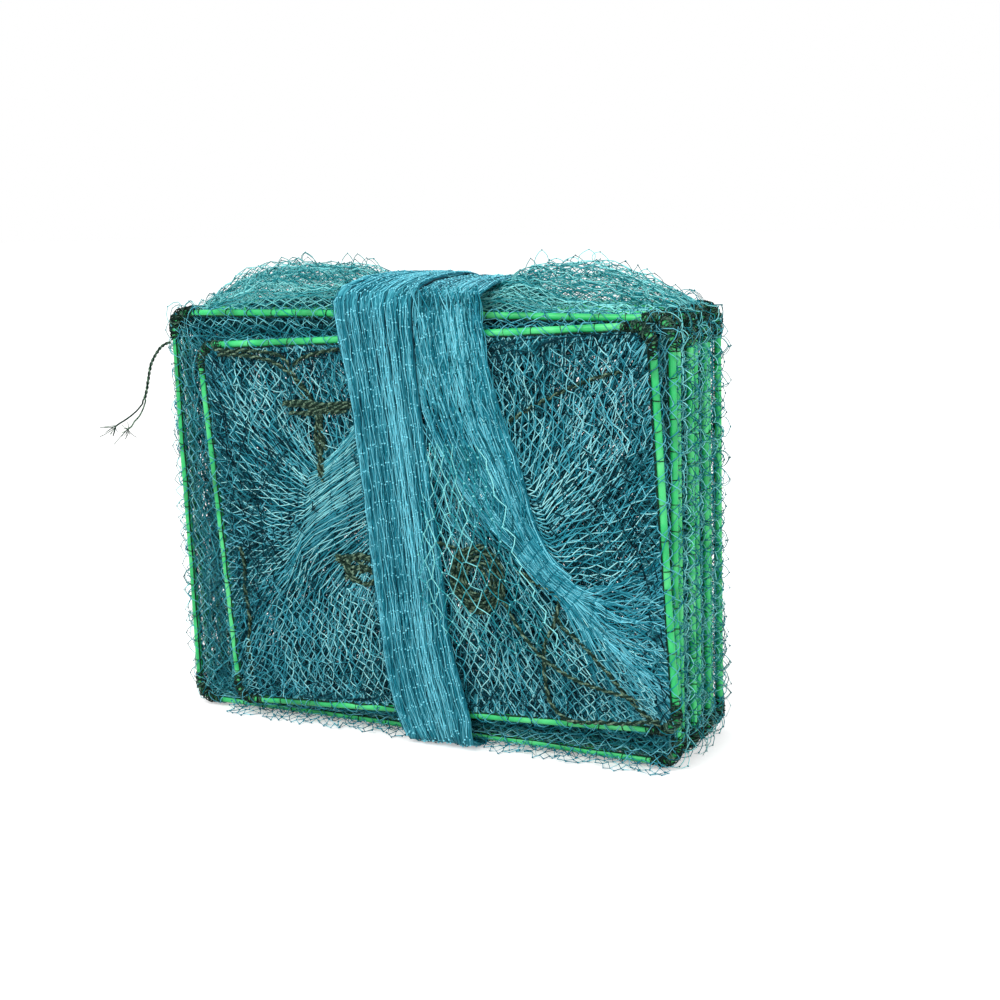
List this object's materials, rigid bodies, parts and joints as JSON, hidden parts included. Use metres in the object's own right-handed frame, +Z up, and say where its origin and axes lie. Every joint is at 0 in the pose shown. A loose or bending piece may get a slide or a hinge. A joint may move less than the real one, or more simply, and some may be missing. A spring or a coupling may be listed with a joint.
{
  "type": "folding crab trap",
  "caption": "Long netting trap on rectangular sleeved wire hoops, folded flat on its long edge with its gathered net tail wound round the stack.",
  "frame": {"origin": "middle of the footprint of the folded stack, on the surface that it stands on", "axes": "+X along the hoops' long side, +Y along the stack from the front hoop to the rear one, +Z up"},
  "size_m": [0.3727, 0.1068, 0.2677],
  "materials": {
    "green_sleeve": "bright green extruded plastic, semi-gloss",
    "steel_wire": "plain drawn wire",
    "net": "knotted teal netting",
    "tail_net": "gathered teal netting",
    "dark_twine": "dark olive laid twine"
  },
  "bodies": {
    "hoop_1": {"hoop_wire_1": "steel_wire", "hoop_sleeve_1": "green_sleeve", "lashing_cord_1": "dark_twine", "inner_funnel_1": "net", "bay_net_1": "net", "front_tail_net": "net", "tail_wrap": "tail_net", "draw_cord": "dark_twine"},
    "hoop_2": {"hoop_wire_2": "steel_wire", "hoop_sleeve_2": "green_sleeve", "lashing_cord_2": "dark_twine", "inner_funnel_2": "net", "bay_net_2": "net", "side_entry_2": "net", "tie_cord": "dark_twine"},
    "hoop_3": {"hoop_wire_3": "steel_wire", "hoop_sleeve_3": "green_sleeve", "lashing_cord_3": "dark_twine", "inner_funnel_3": "net", "bay_net_3": "net", "side_entry_3": "net"},
    "hoop_4": {"hoop_wire_4": "steel_wire", "hoop_sleeve_4": "green_sleeve", "lashing_cord_4": "dark_twine", "inner_funnel_4": "net", "bay_net_4": "net", "side_entry_4": "net"},
    "hoop_5": {"hoop_wire_5": "steel_wire", "hoop_sleeve_5": "green_sleeve", "lashing_cord_5": "dark_twine", "inner_funnel_5": "net", "bay_net_5": "net", "side_entry_5": "net"},
    "hoop_6": {"hoop_wire_6": "steel_wire", "hoop_sleeve_6": "green_sleeve", "lashing_cord_6": "dark_twine", "inner_funnel_6": "net", "bay_net_6": "net", "side_entry_6": "net"},
    "hoop_7": {"hoop_wire_7": "steel_wire", "hoop_sleeve_7": "green_sleeve", "lashing_cord_7": "dark_twine", "inner_funnel_7": "net", "bay_net_7": "net", "side_entry_7": "net"},
    "hoop_8": {"hoop_wire_8": "steel_wire", "hoop_sleeve_8": "green_sleeve", "lashing_cord_8": "dark_twine", "inner_funnel_8": "net", "bay_net_8": "net"},
    "hoop_9": {"hoop_wire_9": "steel_wire", "hoop_sleeve_9": "green_sleeve", "lashing_cord_9": "dark_twine", "rear_tail_net": "net"}
  },
  "joints": [
    {"name": "bay_1_open", "type": "slide", "parent": "hoop_1", "child": "hoop_2", "axis": [0, 1, 0], "range_m": [0, 0.18], "deforming": ["bay_net_1", "inner_funnel_1", "tail_wrap"]},
    {"name": "bay_2_open", "type": "slide", "parent": "hoop_2", "child": "hoop_3", "axis": [0, 1, 0], "range_m": [0, 0.18], "deforming": ["bay_net_2", "inner_funnel_2", "side_entry_2"]},
    {"name": "bay_3_open", "type": "slide", "parent": "hoop_3", "child": "hoop_4", "axis": [0, 1, 0], "range_m": [0, 0.18], "deforming": ["bay_net_3", "inner_funnel_3", "side_entry_3"]},
    {"name": "bay_4_open", "type": "slide", "parent": "hoop_4", "child": "hoop_5", "axis": [0, 1, 0], "range_m": [0, 0.18], "deforming": ["bay_net_4", "inner_funnel_4", "side_entry_4"]},
    {"name": "bay_5_open", "type": "slide", "parent": "hoop_5", "child": "hoop_6", "axis": [0, 1, 0], "range_m": [0, 0.18], "deforming": ["bay_net_5", "inner_funnel_5", "side_entry_5"]},
    {"name": "bay_6_open", "type": "slide", "parent": "hoop_6", "child": "hoop_7", "axis": [0, 1, 0], "range_m": [0, 0.18], "deforming": ["bay_net_6", "inner_funnel_6", "side_entry_6"]},
    {"name": "bay_7_open", "type": "slide", "parent": "hoop_7", "child": "hoop_8", "axis": [0, 1, 0], "range_m": [0, 0.18], "deforming": ["bay_net_7", "inner_funnel_7", "side_entry_7"]},
    {"name": "bay_8_open", "type": "slide", "parent": "hoop_8", "child": "hoop_9", "axis": [0, 1, 0], "range_m": [0, 0.18], "deforming": ["bay_net_8", "inner_funnel_8"]}
  ],
  "couplings": [
    {"joint": "bay_2_open", "follows": "bay_1_open", "ratio": 1},
    {"joint": "bay_3_open", "follows": "bay_1_open", "ratio": 1},
    {"joint": "bay_4_open", "follows": "bay_1_open", "ratio": 1},
    {"joint": "bay_5_open", "follows": "bay_1_open", "ratio": 1},
    {"joint": "bay_6_open", "follows": "bay_1_open", "ratio": 1},
    {"joint": "bay_7_open", "follows": "bay_1_open", "ratio": 1},
    {"joint": "bay_8_open", "follows": "bay_1_open", "ratio": 1}
  ]
}
